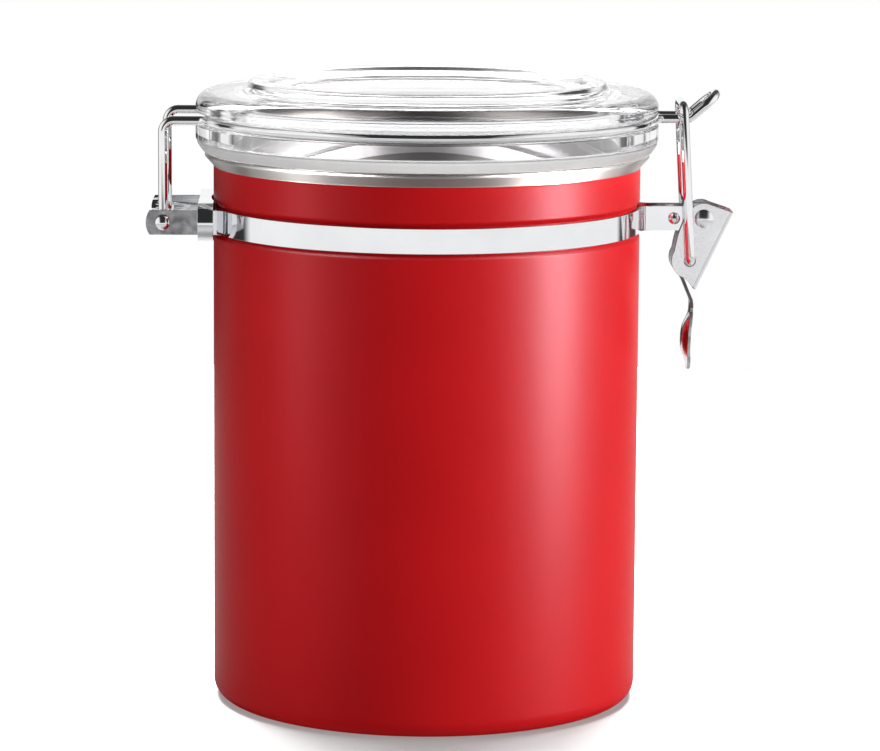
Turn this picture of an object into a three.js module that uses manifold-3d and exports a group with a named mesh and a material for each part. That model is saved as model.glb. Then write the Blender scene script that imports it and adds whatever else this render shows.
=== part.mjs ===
// An airtight storage canister: a painted steel can, a clear lid on a wire hinge and a clamp latch.
// Millimetres, +Z up. The origin is the centre of the base; the latch is on +X and the hinge on -X.
import * as THREE from "three";
import { mergeVertices } from "three/addons/utils/BufferGeometryUtils.js";
import Module from "manifold-3d";

const wasm = await Module();
wasm.setup();

// Clearances
const runningFit = 0.3; // between pieces that slide or turn on each other
const seatFit = 0.3; // between pieces that rest on each other
const holeFit = 0.35; // round a wire in its hole or groove

// Can
const bodyRadius = 60;
const bodyWall = 0.8;
const baseEdgeRadius = 5;
const leastEdgeRadius = 0.2; // of the base edge's inner side, however thick the wall
const paintHeight = 151.3; // where the straight painted wall ends and the bare flare begins
const flareHeight = 3.6;
const flareReach = 2.5;

// Clamp strap
const strapDrop = 14.1; // from the top of the painted wall down to the middle of the strap
const strapWidth = 6.8;
const strapThickness = 0.8;
const strapBendRadius = 4;
const grooveDepth = 0.8;
const grooveSlope = 1.2; // height of the slanted step at each side of the groove
const grooveRoom = 0.4; // between the strap's edge and the step

// Wire of the hoop and of the bail
const wireDiameter = 2.6;
const wireBendRadius = 3;
const pinBend = 0.8; // bend radius where a pin leaves its leg, in wire diameters
const eyeBend = 0.7; // bend radius where the bail enters an eye, in wire diameters

// Lid and gasket
const gasketThickness = 3.1;
const gasketOverhang = 0.2; // of the gasket's foot past the flared rim
const lidOverhang = 5; // of the lid's flange past the can's wall
const gasketInset = 0.4; // of the gasket's top edge from the flange's edge
const plugRoom = 1.8; // between the plug and the can's inner wall
const plugDepth = 7;
const lidWall = 3;
const flangeHeight = 4.6; // from the flange's underside to the hoop groove's lower edge
const hoopInset = 1; // of the hoop wire's centre line from the flange's edge
const lipHeight = 1.2; // straight edge above the hoop groove
const shoulderRadius = 4.3;
const ringOuterRadius = 49.6;
const ringWidth = 4.2;
const ringRise = 3.1;
const ringSlope = 2.4; // width of the ring's slanted outer side
const discDepth = 2.3;
const discSlope = 1.2;

// Hinge
const hingeReach = 13.6; // from the can's wall out to the pin axis
const hingeArmPast = 4.7; // length of the arm past the pin axis
const hingeArmEndRadius = 6;
const hingeArmSpread = 18.7; // from the middle plane to the middle of each hinge arm
const pinHeadRadius = 2.2;
const pinHeadRise = 1.5;
const bridgeDepth = 4.3;
const bridgeWallGap = 3.9; // from the can's wall out to the bridge's outer face
const bridgeLip = 1.85; // height of the bridge above and below the arms
const bridgeEndWall = 2.5;
const bridgeCornerRadius = 5;

// Latch
const latchReach = 17.8; // from the can's wall out to the lever pivot
const latchArmGap = 7.4;
const leverSheet = 0.9;
const pivotShankRadius = 1.7;
const pivotHeadRadius = 2.6;
const pivotHeadRise = 1;
const pivotSpacerWall = 1;
const stopSetBack = 8.3; // from the pivot back to the stop rivet
const stopShankRadius = 1.2;
const stopHeadRadius = 1.65;
const stopHeadRise = 1.1;
const stopSpacerWall = 0.9;
const heelRadius = 4.4; // round the pivot
const heelFrom = 60; // degrees
const heelTo = 144;
const lobeRadius = 5.1; // round the eye
const lobeFrom = 148;
const lobeTo = 256;
const waistDrop = 1.5; // of the cheek's waist below the pivot
const eyeSetBack = 3.8;
const eyeDrop = 11.9;
const eyeStub = 1.2; // length of the bail's end inside the cheek
const webTopReach = 8.4;
const webTopRise = 1.7;
const webFootSetBack = 2.9;
const webFootDrop = 22.2;
const cheekFootGap = 2.2; // from the web's end up to the cheek's foot
const neckTopSetBack = 5.6;
const neckTopDrop = 17.2;
const neckFootSetBack = 2.8;
const neckFootDrop = 25.6;
const neckWidth = 6.4;
const paddleLength = 17.9;
const paddleWidth = 13;
const paddleLean = 0.7; // how far the paddle's tip leans towards the can
const paddleBow = 2.4; // how far its middle is drawn towards the can

// Hook of the hoop and the bail that pulls on it
const hookReach = 13.4; // from the can's wall out to the hook's bend
const hookRise = 41; // degrees
const hookLength = 10.2; // from the bend to the middle of the hook's round end
const hookSideRoom = 1; // between the hook's wire and the bail's leg
const bailSetBack = 1.9; // of the bail's crossbar from the hook's bend
const bailThrow = 1.25; // free height of the crossbar over the hook, taken up as the lever goes over centre

// Fineness of the facets
const roundSteps = 48; // round the can
const wireSides = 8;
const bendSteps = 4;
const smallSteps = 20; // round rivets and sleeves
const baseEdgeSteps = 6;

// Heights and places that follow from the sizes above
const wireRadius = wireDiameter / 2;
const bodyInner = bodyRadius - bodyWall;
const strapZ = paintHeight - strapDrop;
const grooveHalf = strapWidth / 2 + grooveRoom;
const strapInner = bodyRadius - grooveDepth + seatFit;
const strapOuter = strapInner + strapThickness;
const flareLength = Math.hypot(flareHeight, flareReach);
const rimRise = (bodyWall * flareReach) / flareLength; // of the rim's inner edge over its outer edge
const rimInset = (bodyWall * flareHeight) / flareLength;
const rimRadius = bodyRadius + flareReach;
const rimZ = paintHeight + flareHeight + rimRise;
const gasketZ = rimZ + seatFit;
const flangeZ = gasketZ + gasketThickness + seatFit;
const lidRadius = bodyRadius + lidOverhang;
const plugRadius = bodyInner - plugRoom;
const grooveOpening = wireRadius + holeFit;
const hoopZ = flangeZ + flangeHeight + grooveOpening;
const hoopRadius = lidRadius - hoopInset;
const hingeX = -(bodyRadius + hingeReach);
const hingeArmOuter = hingeArmSpread + strapThickness / 2;
const hoopLegY = hingeArmSpread - strapThickness / 2 - runningFit - wireRadius;
const pivotX = bodyRadius + latchReach;
const cutPast = pivotX; // how far a cutting body runs past the piece it cuts
const stopX = pivotX - stopSetBack;
const armOuterY = latchArmGap / 2 + strapThickness;
const cheekInnerY = armOuterY + runningFit;
const cheekOuterY = cheekInnerY + leverSheet;
const stopHeadY = armOuterY + seatFit;
const pivotHeadY = cheekOuterY + runningFit;
const bailLegY = pivotHeadY + pivotHeadRise + runningFit + wireRadius;
const hookArmY = bailLegY - wireDiameter - hookSideRoom;
const hookX = bodyRadius + hookReach;
const eyeX = pivotX - eyeSetBack;
const eyeZ = strapZ - eyeDrop;
const crossbarX = hookX - bailSetBack;
const crossbarZ = hoopZ + wireDiameter + bailThrow;

// A three.js geometry as a closed solid, and back
function solid(geometry) {
  const bare = geometry.index ? geometry.toNonIndexed() : geometry.clone();
  bare.deleteAttribute("normal");
  bare.deleteAttribute("uv");
  const merged = mergeVertices(bare, 1e-4);
  const vertProperties = new Float32Array(merged.attributes.position.array);
  const triVerts = new Uint32Array(merged.index.array);
  return new wasm.Manifold(new wasm.Mesh({ numProp: 3, vertProperties, triVerts }));
}

function geometryOf(made) {
  const mesh = made.getMesh();
  const geometry = new THREE.BufferGeometry();
  geometry.setAttribute("position", new THREE.BufferAttribute(mesh.vertProperties, 3));
  geometry.setIndex(new THREE.BufferAttribute(mesh.triVerts, 1));
  geometry.computeVertexNormals();
  return geometry;
}

// Points on an arc in a plane, angles in radians, both ends included
function arc(x, y, radius, from, to, steps) {
  return Array.from({ length: steps + 1 }, (_, i) => {
    const angle = from + ((to - from) * i) / steps;
    return new THREE.Vector2(x + radius * Math.cos(angle), y + radius * Math.sin(angle));
  });
}

const point = (x, y) => new THREE.Vector2(x, y);

// A profile of radius and height, turned about Z
function turned(profile) {
  return new THREE.LatheGeometry(profile, roundSteps).rotateX(Math.PI / 2);
}

// A profile of radius and distance, turned about a line along Y through x, z
function turnedAcross(profile, x, z) {
  return new THREE.LatheGeometry(profile, smallSteps).translate(x, 0, z);
}

// An outline in x and z, from one y to another
function acrossPlate(outline, fromY, toY) {
  const shape = Array.isArray(outline) ? new THREE.Shape(outline) : outline;
  const options = { depth: toY - fromY, bevelEnabled: false, curveSegments: 2 * bendSteps };
  return new THREE.ExtrudeGeometry(shape, options).rotateX(Math.PI / 2).translate(0, toY, 0);
}

// An outline in x and y, from one z to another
function uprightPlate(outline, fromZ, toZ) {
  const options = { depth: toZ - fromZ, bevelEnabled: false };
  return new THREE.ExtrudeGeometry(new THREE.Shape(outline), options).translate(0, 0, fromZ);
}

// An outline in y and z, from one x to another
function alongPlate(outline, fromX, toX) {
  const options = { depth: toX - fromX, bevelEnabled: false };
  const made = new THREE.ExtrudeGeometry(new THREE.Shape(outline), options);
  return made.rotateX(Math.PI / 2).rotateZ(Math.PI / 2).translate(fromX, 0, 0);
}

// A round bar along Y through x, z
function barAcross(radius, x, z, fromY, toY) {
  const made = new THREE.CylinderGeometry(radius, radius, toY - fromY, smallSteps);
  return made.translate(x, (fromY + toY) / 2, z);
}

// A wire's centre line with a ring at each of its points
class Route extends THREE.Curve {
  constructor(points) {
    super();
    this.points = points;
  }

  getPointAt(u) {
    const last = this.points.length - 1;
    return this.points[Math.round(u * last)].clone();
  }

  getTangentAt(u) {
    const last = this.points.length - 1;
    const i = Math.round(u * last);
    const here = this.points[i];
    const tangent = new THREE.Vector3();
    if (i > 0) tangent.add(here.clone().sub(this.points[i - 1]).normalize());
    if (i < last) tangent.add(this.points[i + 1].clone().sub(here).normalize());
    return tangent.normalize();
  }
}

// A wire through corners, each rounded to its own radius; a corner with no radius stays a point
function bentRoute(corners) {
  return corners.flatMap(({ at, radius }, i) => {
    if (!radius) return [at];
    const into = at.clone().sub(corners[i - 1].at).normalize();
    const out = corners[i + 1].at.clone().sub(at).normalize();
    const turn = into.angleTo(out);
    const start = at.clone().addScaledVector(into, -radius * Math.tan(turn / 2));
    const inward = out.clone().addScaledVector(into, -out.dot(into)).normalize();
    const centre = start.clone().addScaledVector(inward, radius);
    return Array.from({ length: bendSteps + 1 }, (_, step) => {
      const angle = (turn * step) / bendSteps;
      const spoke = inward.clone().multiplyScalar(-radius * Math.cos(angle));
      return centre.clone().add(spoke).addScaledVector(into, radius * Math.sin(angle));
    });
  });
}

function wire(points) {
  const section = new THREE.Shape(arc(0, 0, wireRadius, 0, 2 * Math.PI, wireSides).slice(0, -1));
  const options = { steps: points.length - 1, extrudePath: new Route(points) };
  return new THREE.ExtrudeGeometry(section, options);
}

const mirroredY = (v) => new THREE.Vector3(v.x, -v.y, v.z);

// A domed head: points of radius and distance from its foot up to its crown on the axis
function dome(radius, foot, rise) {
  const ball = (radius * radius + rise * rise) / (2 * rise);
  const spread = Math.asin(Math.min(1, radius / ball));
  return arc(0, foot + rise - ball, ball, Math.PI / 2 - spread, Math.PI / 2, bendSteps);
}

// Can: flat base, rounded base edge, straight wall with the strap groove, flared rim
function canisterBody() {
  const bend = Math.PI / 2;
  const innerEdge = Math.max(baseEdgeRadius - bodyWall, leastEdgeRadius);
  const groove = (radius) => [
    point(radius, strapZ - grooveHalf - grooveSlope),
    point(radius - grooveDepth, strapZ - grooveHalf),
    point(radius - grooveDepth, strapZ + grooveHalf),
    point(radius, strapZ + grooveHalf + grooveSlope),
  ];
  const outside = [
    ...arc(bodyRadius - baseEdgeRadius, baseEdgeRadius, baseEdgeRadius, -bend, 0, baseEdgeSteps),
    ...groove(bodyRadius),
    point(bodyRadius, paintHeight),
    point(rimRadius, rimZ - rimRise),
  ];
  const inside = [
    ...arc(bodyInner - innerEdge, bodyWall + innerEdge, innerEdge, -bend, 0, baseEdgeSteps),
    ...groove(bodyInner),
    point(bodyInner, paintHeight + rimRise / 2),
    point(rimRadius - rimInset, rimZ),
  ];
  return turned([point(0, 0), ...outside, ...inside.reverse(), point(0, bodyWall)]);
}

// Half of the strap: hinge arm, bend, groove arc, bend, latch arm
const armCentreY = armOuterY - strapThickness / 2;
const strapMiddle = (strapInner + strapOuter) / 2;
const cornerCircle = strapMiddle + strapBendRadius;
const hingeArmEndX = hingeX - hingeArmPast;
const latchArmEndX = pivotX + strapWidth / 2;

// One face of the front half, offset outwards from the strap's middle line
function strapFace(offset) {
  const hingeSide = hingeArmSpread + strapBendRadius;
  const latchSide = armCentreY + strapBendRadius;
  const hingeTurn = Math.asin(hingeSide / cornerCircle);
  const latchTurn = Math.asin(latchSide / cornerCircle);
  const hingeBendX = -cornerCircle * Math.cos(hingeTurn);
  const latchBendX = cornerCircle * Math.cos(latchTurn);
  const bend = strapBendRadius - offset;
  const up = Math.PI / 2;
  return [
    point(hingeArmEndX - strapWidth, -hingeArmSpread - offset),
    ...arc(hingeBendX, -hingeSide, bend, up, hingeTurn, bendSteps),
    ...arc(0, 0, strapMiddle + offset, Math.PI + hingeTurn, 2 * Math.PI - latchTurn, roundSteps / 2),
    ...arc(latchBendX, -latchSide, bend, Math.PI - latchTurn, up, bendSteps),
    point(latchArmEndX + strapWidth, -armCentreY - offset),
  ];
}

function strapFront() {
  const outline = [...strapFace(strapThickness / 2), ...strapFace(-strapThickness / 2).reverse()];
  const half = strapWidth / 2;
  const ribbon = solid(uprightPlate(outline, strapZ - half, strapZ + half));
  const spread = Math.asin(Math.min(1, half / hingeArmEndRadius));
  const side = [
    ...arc(pivotX, strapZ, half, -Math.PI / 2, Math.PI / 2, 2 * bendSteps),
    ...arc(
      hingeArmEndX + hingeArmEndRadius,
      strapZ,
      hingeArmEndRadius,
      Math.PI - spread,
      Math.PI + spread,
      2 * bendSteps,
    ),
  ];
  return ribbon
    .intersect(solid(acrossPlate(side, -cutPast, 0)))
    .subtract(solid(barAcross(wireRadius + holeFit, hingeX, strapZ, -cutPast, -hoopLegY)))
    .subtract(solid(barAcross(pivotShankRadius + runningFit, pivotX, strapZ, -cutPast, 0)))
    .subtract(solid(barAcross(stopShankRadius + seatFit, stopX, strapZ, -cutPast, 0)));
}

// Bridge: a block beside the can with a slot for each hinge arm
function hingeBridge() {
  const outerX = -(bodyRadius + bridgeWallGap);
  const halfHeight = strapWidth / 2 + bridgeLip;
  const halfSpan = hingeArmOuter + seatFit + bridgeEndWall;
  const corner = Math.min(bridgeCornerRadius, halfHeight);
  const quarter = Math.PI / 2;
  const outline = [
    ...arc(halfSpan - corner, strapZ - halfHeight + corner, corner, -quarter, 0, bendSteps),
    ...arc(halfSpan - corner, strapZ + halfHeight - corner, corner, 0, quarter, bendSteps),
    ...arc(corner - halfSpan, strapZ + halfHeight - corner, corner, quarter, 2 * quarter, bendSteps),
    ...arc(corner - halfSpan, strapZ - halfHeight + corner, corner, 2 * quarter, 3 * quarter, bendSteps),
  ];
  const slotHeight = strapWidth + 2 * seatFit;
  const slotWidth = strapThickness + 2 * seatFit;
  const canRadius = strapOuter + seatFit;
  const can = new THREE.CylinderGeometry(canRadius, canRadius, cutPast, 2 * roundSteps);
  let made = solid(alongPlate(outline, outerX, outerX + bridgeDepth));
  made = made.subtract(solid(can.rotateX(Math.PI / 2).translate(0, 0, strapZ)));
  for (const side of [-1, 1]) {
    const slot = new THREE.BoxGeometry(cutPast, slotWidth, slotHeight);
    made = made.subtract(solid(slot.translate(outerX, side * hingeArmSpread, strapZ)));
  }
  return made;
}

// Lid: plug and flange below, hoop groove, rounded shoulder, raised ring and sunk disc on top
function lid() {
  const lipZ = hoopZ + grooveOpening + lipHeight;
  const shoulderZ = lipZ + shoulderRadius;
  const floorRadius = hoopRadius - wireRadius - holeFit;
  const ringZ = shoulderZ + ringRise;
  const discZ = ringZ - discDepth;
  const ringInner = ringOuterRadius - ringWidth;
  const hollow = plugRadius - lidWall;
  const hollowTop = discZ - lidWall;
  return turned([
    point(0, hollowTop),
    point(hollow - shoulderRadius, hollowTop),
    ...arc(hollow - shoulderRadius, hollowTop - shoulderRadius, shoulderRadius, Math.PI / 2, 0, bendSteps),
    point(hollow, flangeZ - plugDepth),
    point(plugRadius, flangeZ - plugDepth),
    point(plugRadius, flangeZ),
    point(lidRadius, flangeZ),
    point(lidRadius, hoopZ - grooveOpening),
    point(floorRadius, hoopZ - grooveOpening),
    point(floorRadius, hoopZ + grooveOpening),
    point(lidRadius, hoopZ + grooveOpening),
    ...arc(lidRadius - shoulderRadius, lipZ, shoulderRadius, 0, Math.PI / 2, bendSteps),
    point(ringOuterRadius + ringSlope, shoulderZ),
    point(ringOuterRadius, ringZ),
    point(ringInner, ringZ),
    point(ringInner - discSlope, discZ),
    point(0, discZ),
  ]);
}

function lidGasket() {
  const inner = plugRadius + seatFit;
  const corners = [
    point(inner, gasketZ),
    point(rimRadius + gasketOverhang, gasketZ),
    point(lidRadius - gasketInset, gasketZ + gasketThickness),
    point(inner, gasketZ + gasketThickness),
  ];
  return turned([...corners, corners[0].clone()]);
}

// Hoop: pin, leg, run, groove arc, hook arm and hook end of the front half, then the same mirrored
function hoopRoute() {
  const at = (x, y, z) => new THREE.Vector3(x, y, z);
  const cornerRadius = hoopRadius + wireBendRadius;
  const hingeTurn = Math.asin((hoopLegY + wireBendRadius) / cornerRadius);
  const hookTurn = Math.asin((hookArmY + wireBendRadius) / cornerRadius);
  const flat = [
    ...arc(
      -cornerRadius * Math.cos(hingeTurn),
      -hoopLegY - wireBendRadius,
      wireBendRadius,
      Math.PI / 2,
      hingeTurn,
      bendSteps,
    ),
    ...arc(0, 0, hoopRadius, Math.PI + hingeTurn, 2 * Math.PI - hookTurn, roundSteps / 2),
    ...arc(
      cornerRadius * Math.cos(hookTurn),
      -hookArmY - wireBendRadius,
      wireBendRadius,
      Math.PI - hookTurn,
      Math.PI / 2,
      bendSteps,
    ),
  ].map((p) => at(p.x, p.y, hoopZ));
  const rise = THREE.MathUtils.degToRad(hookRise);
  const crownX = hookX + hookLength * Math.cos(rise);
  const crownZ = hoopZ + hookLength * Math.sin(rise);
  const hinge = bentRoute([
    { at: at(hingeX, -hingeArmOuter - runningFit - pinHeadRise / 2, strapZ) },
    { at: at(hingeX, -hoopLegY, strapZ), radius: wireDiameter * pinBend },
    { at: at(hingeX, -hoopLegY, hoopZ), radius: wireBendRadius },
    { at: flat[0] },
  ]);
  const hook = bentRoute([
    { at: flat[flat.length - 1] },
    { at: at(hookX, -hookArmY, hoopZ), radius: wireBendRadius },
    { at: at(crownX, -hookArmY, crownZ), radius: hookArmY },
    { at: at(crownX, 0, crownZ) },
  ]);
  // The groove arc brings the joints with the runs itself, and the hook's bend ends at its crown.
  const half = [...hinge.slice(0, -1), ...flat, ...hook.slice(1, -1)];
  return [...half, ...half.slice(0, -1).reverse().map(mirroredY)];
}

function lidHoop() {
  const foot = hingeArmOuter + runningFit;
  const head = [point(0, foot), ...dome(pinHeadRadius, foot, pinHeadRise)];
  const far = solid(turnedAcross(head, hingeX, strapZ));
  const near = solid(turnedAcross(head, 0, 0).rotateX(Math.PI).translate(hingeX, 0, strapZ));
  return solid(wire(hoopRoute())).add(far).add(near);
}

// Lever: two cheeks and a web bent from one sheet, running into a neck and a finger paddle
function leverCheek() {
  const rad = THREE.MathUtils.degToRad;
  const webX = webTopReach + webFootSetBack;
  const webZ = webTopRise + webFootDrop;
  const footShare = 1 - cheekFootGap / Math.hypot(webX, webZ);
  const heel = arc(pivotX, strapZ, heelRadius, rad(heelFrom), rad(heelTo), bendSteps);
  const lobe = arc(eyeX, eyeZ, lobeRadius, rad(lobeFrom), rad(lobeTo), 2 * bendSteps);
  const shape = new THREE.Shape(heel);
  const waist = point((eyeX + pivotX) / 2 - lobeRadius, strapZ - waistDrop);
  shape.quadraticCurveTo(waist.x, waist.y, lobe[0].x, lobe[0].y);
  for (const p of lobe.slice(1)) shape.lineTo(p.x, p.y);
  shape.lineTo(pivotX + webTopReach - webX * footShare, strapZ + webTopRise - webZ * footShare);
  shape.lineTo(pivotX + webTopReach, strapZ + webTopRise);
  return shape;
}

function latchLever() {
  const webTop = point(pivotX + webTopReach, strapZ + webTopRise);
  const webFoot = point(pivotX - webFootSetBack, strapZ - webFootDrop);
  const along = webFoot.clone().sub(webTop).normalize();
  const inward = point(along.y, -along.x).multiplyScalar(leverSheet);
  const web = [webTop, webTop.clone().add(inward), webFoot.clone().add(inward), webFoot];
  const paddleTopZ = strapZ - neckFootDrop;
  const paddleFootZ = paddleTopZ - paddleLength;
  const bow = new THREE.QuadraticBezierCurve(
    point(pivotX - neckFootSetBack, paddleTopZ),
    point(pivotX - neckFootSetBack - paddleBow, (paddleTopZ + paddleFootZ) / 2),
    point(pivotX - neckFootSetBack - paddleLean, paddleFootZ),
  );
  const line = [point(pivotX - neckTopSetBack, strapZ - neckTopDrop), ...bow.getPoints(2 * bendSteps)];
  const shifted = (by) => line.map((p) => point(p.x + by, p.y));
  const tongue = [...shifted(leverSheet / 2), ...shifted(-leverSheet / 2).reverse()];
  const middleZ = (paddleTopZ + paddleFootZ) / 2;
  const paddle = new THREE.Shape();
  paddle.absellipse(0, middleZ, paddleWidth / 2, paddleLength / 2, 0, 2 * Math.PI, false, 0);
  const neck = new THREE.BoxGeometry(cutPast, neckWidth, 2 * (strapZ - middleZ));
  const face = solid(alongPlate(paddle.getPoints(smallSteps), bodyRadius, pivotX + latchReach))
    .add(solid(neck.translate(pivotX, 0, strapZ)));
  const strip = solid(acrossPlate(tongue, -paddleWidth, paddleWidth)).intersect(face);
  const cheek = leverCheek();
  return solid(acrossPlate(cheek, -cheekOuterY, -cheekInnerY))
    .add(solid(acrossPlate(cheek, cheekInnerY, cheekOuterY)))
    .add(solid(acrossPlate(web, -cheekOuterY, cheekOuterY)))
    .add(strip)
    .subtract(solid(barAcross(pivotShankRadius + runningFit, pivotX, strapZ, -cutPast, cutPast)))
    .subtract(solid(barAcross(wireRadius + holeFit, eyeX, eyeZ, -cutPast, cutPast)));
}

// Bail: an end in each eye, two legs outside the cheeks and a crossbar over the hook
function latchBail() {
  const at = (x, y, z) => new THREE.Vector3(x, y, z);
  const half = bentRoute([
    { at: at(eyeX, -cheekInnerY + eyeStub, eyeZ) },
    { at: at(eyeX, -bailLegY, eyeZ), radius: wireDiameter * eyeBend },
    { at: at(crossbarX, -bailLegY, crossbarZ), radius: wireBendRadius },
    { at: at(crossbarX, 0, crossbarZ) },
  ]).slice(0, -1);
  return wire([...half, ...half.slice().reverse().map(mirroredY)]);
}

// A rivet along Y: domed heads on both sides of a shank
function rivet(shankRadius, headRadius, headFoot, headRise, x) {
  const head = [point(shankRadius, headFoot), ...dome(headRadius, headFoot, headRise)];
  const other = head.map((p) => point(p.x, -p.y)).reverse();
  return turnedAcross([...other, ...head], x, strapZ);
}

// A sleeve between the latch arms
function sleeve(shankRadius, wall, x) {
  const half = latchArmGap / 2 - seatFit;
  const inner = shankRadius + runningFit;
  const corners = [
    point(inner, -half),
    point(inner + wall, -half),
    point(inner + wall, half),
    point(inner, half),
  ];
  return turnedAcross([...corners, corners[0].clone()], x, strapZ);
}

const canister = new THREE.Group();

function add(name, geometry, color, roughness, metalness, more = {}) {
  const material = new THREE.MeshStandardMaterial({ color, roughness, metalness, ...more });
  const mesh = new THREE.Mesh(geometry, material);
  mesh.name = name;
  canister.add(mesh);
  return mesh;
}

// Colour, roughness and metalness
const redPaint = [0xb8141c, 0.45, 0];
const chrome = [0xd8d9dc, 0.12, 1];
const clearPlastic = [0xf4f6f8, 0.05, 0, { transparent: true, opacity: 0.35 }];
const silicone = [0xe6e4e2, 0.6, 0];

const strapGeometry = geometryOf(strapFront());
add("canister_body", canisterBody(), ...redPaint);
add("strap_front", strapGeometry, ...chrome);
add("strap_rear", strapGeometry.clone(), ...chrome).scale.y = -1;
add("hinge_bridge", geometryOf(hingeBridge()), ...chrome);
add("lid", lid(), ...clearPlastic);
add("lid_gasket", lidGasket(), ...silicone);
add("lid_hoop", geometryOf(lidHoop()), ...chrome);
add("latch_lever", geometryOf(latchLever()), ...chrome);
add("latch_bail", latchBail(), ...chrome);
add("lever_rivet", rivet(pivotShankRadius, pivotHeadRadius, pivotHeadY, pivotHeadRise, pivotX), ...chrome);
add("stop_rivet", rivet(stopShankRadius, stopHeadRadius, stopHeadY, stopHeadRise, stopX), ...chrome);
add("pivot_spacer", sleeve(pivotShankRadius, pivotSpacerWall, pivotX), ...chrome);
add("stop_spacer", sleeve(stopShankRadius, stopSpacerWall, stopX), ...chrome);

export default canister;
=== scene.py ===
"""An airtight canister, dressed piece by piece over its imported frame. Metres, +Z up."""

import math

import bpy
from mathutils import Matrix, Vector


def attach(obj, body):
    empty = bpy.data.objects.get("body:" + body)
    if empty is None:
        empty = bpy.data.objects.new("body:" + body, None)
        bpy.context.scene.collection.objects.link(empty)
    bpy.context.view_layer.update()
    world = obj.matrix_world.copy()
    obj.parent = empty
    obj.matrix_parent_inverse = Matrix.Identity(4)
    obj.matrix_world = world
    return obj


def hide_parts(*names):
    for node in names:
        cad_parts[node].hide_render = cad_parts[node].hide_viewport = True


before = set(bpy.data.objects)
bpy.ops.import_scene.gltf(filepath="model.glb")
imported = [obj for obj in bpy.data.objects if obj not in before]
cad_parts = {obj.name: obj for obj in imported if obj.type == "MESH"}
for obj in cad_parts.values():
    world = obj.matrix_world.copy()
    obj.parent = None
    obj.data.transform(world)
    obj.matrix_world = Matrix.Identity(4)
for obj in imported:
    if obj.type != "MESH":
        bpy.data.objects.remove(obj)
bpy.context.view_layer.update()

# CAN
# A deep-drawn steel shell with a groove rolled round it for the strap and a flared mouth. It is
# powder coated satin red outside, up to the flare. The flare and the inside are bare brushed steel;
# the inside is darkened as painted shade, and the band at its top, by the mouth, as painted light.
mm = 0.001
can_radius = 60
can_wall = 0.8
inner_radius = can_radius - can_wall
base_bend = 5
groove_depth = 0.8
groove_slope = 1.2
groove_low = 132.2
groove_high = 142.2
lip_foot = 150.4
paint_edge = 151.8
rim_radius = 62.5
rim_top = 155.36
can_corners = [
    ((0, 0, 0), 0),
    ((can_radius, 0, 0), base_bend),
    ((can_radius, 0, groove_low), 1),
    ((can_radius - groove_depth, 0, groove_low + groove_slope), 0.8),
    ((can_radius - groove_depth, 0, groove_high - groove_slope), 0.8),
    ((can_radius, 0, groove_high), 1),
    ((can_radius, 0, paint_edge), 1.6),
    ((rim_radius, 0, 154.5), 0.6),
    ((rim_radius, 0, rim_top), 0.66),
    ((rim_radius - can_wall, 0, rim_top), 0.12),
    ((rim_radius - can_wall, 0, 154.4), 0.9),
    ((inner_radius, 0, 152.5), 2.4),
    ((inner_radius, 0, lip_foot), 0),
    ((inner_radius, 0, groove_high), 1),
    ((inner_radius - groove_depth, 0, groove_high - groove_slope), 0.8),
    ((inner_radius - groove_depth, 0, groove_low + groove_slope), 0.8),
    ((inner_radius, 0, groove_low), 1),
    ((inner_radius, 0, can_wall), base_bend - can_wall),
    ((0, 0, can_wall), 0),
]
red_deep, red_light = (0.42, 0.004, 0.0055, 1), (0.45, 0.0046, 0.0062, 1)
flare_dark, flare_light = (0.36, 0.345, 0.33, 1), (0.44, 0.425, 0.41, 1)
# The inside steel is darkened as painted shade; the band at the top of the inside is lightened as
# painted light.
painted_shade_inside_dark, painted_shade_inside_light = (0.14, 0.128, 0.12, 1), (0.185, 0.173, 0.165, 1)
painted_light_lip_dark, painted_light_lip_light = (0.82, 0.81, 0.80, 1), (0.90, 0.89, 0.88, 1)
peel_fineness = 1400
brush_fineness = 2600


def rounded(corners, steps=8):
    """The points, in metres, of a line through corners in millimetres, each bent to its radius."""
    line = []
    for i, (corner, radius) in enumerate(corners):
        at = Vector(corner)
        if not radius:
            line.append(at * mm)
            continue
        into = (at - Vector(corners[i - 1][0])).normalized()
        out = (Vector(corners[i + 1][0]) - at).normalized()
        turn = into.angle(out)
        inward = (out - into * out.dot(into)).normalized()
        centre = at - into * radius * math.tan(turn / 2) + inward * radius
        for step in range(steps + 1):
            angle = turn * step / steps
            spoke = into * math.sin(angle) - inward * math.cos(angle)
            line.append((centre + spoke * radius) * mm)
    return line


def draw_line(name, points):
    """A new piece, left in edit mode, whose one vertex has been extruded from point to point."""
    bpy.ops.object.select_all(action="DESELECT")
    bpy.ops.mesh.primitive_plane_add(size=mm)
    piece = bpy.context.active_object
    piece.name = name
    piece.data.name = name
    bpy.ops.object.mode_set(mode="EDIT")
    bpy.ops.mesh.select_mode(type="VERT")
    bpy.ops.mesh.select_all(action="SELECT")
    bpy.ops.mesh.merge(type="CENTER")
    bpy.ops.transform.translate(value=points[0])
    for here, there in zip(points, points[1:]):
        bpy.ops.mesh.extrude_region_move(TRANSFORM_OT_translate={"value": there - here})
    return piece


def close_up(smooth_angle=30):
    """Ends an edit: doubles merged, faces outwards, shading smooth but for the sharp edges."""
    bpy.ops.mesh.select_all(action="SELECT")
    bpy.ops.mesh.remove_doubles(threshold=1e-6)
    bpy.ops.mesh.normals_make_consistent(inside=False)
    bpy.ops.object.mode_set(mode="OBJECT")
    bpy.ops.object.shade_smooth_by_angle(angle=math.radians(smooth_angle))


def turned(name, corners, steps=192, bend_steps=8):
    """A profile in the XZ plane, spun about Z."""
    piece = draw_line(name, rounded(corners, bend_steps))
    bpy.ops.mesh.select_all(action="SELECT")
    bpy.ops.mesh.spin(steps=steps, angle=2 * math.pi, center=(0, 0, 0), axis=(0, 0, 1))
    close_up()
    return piece


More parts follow.
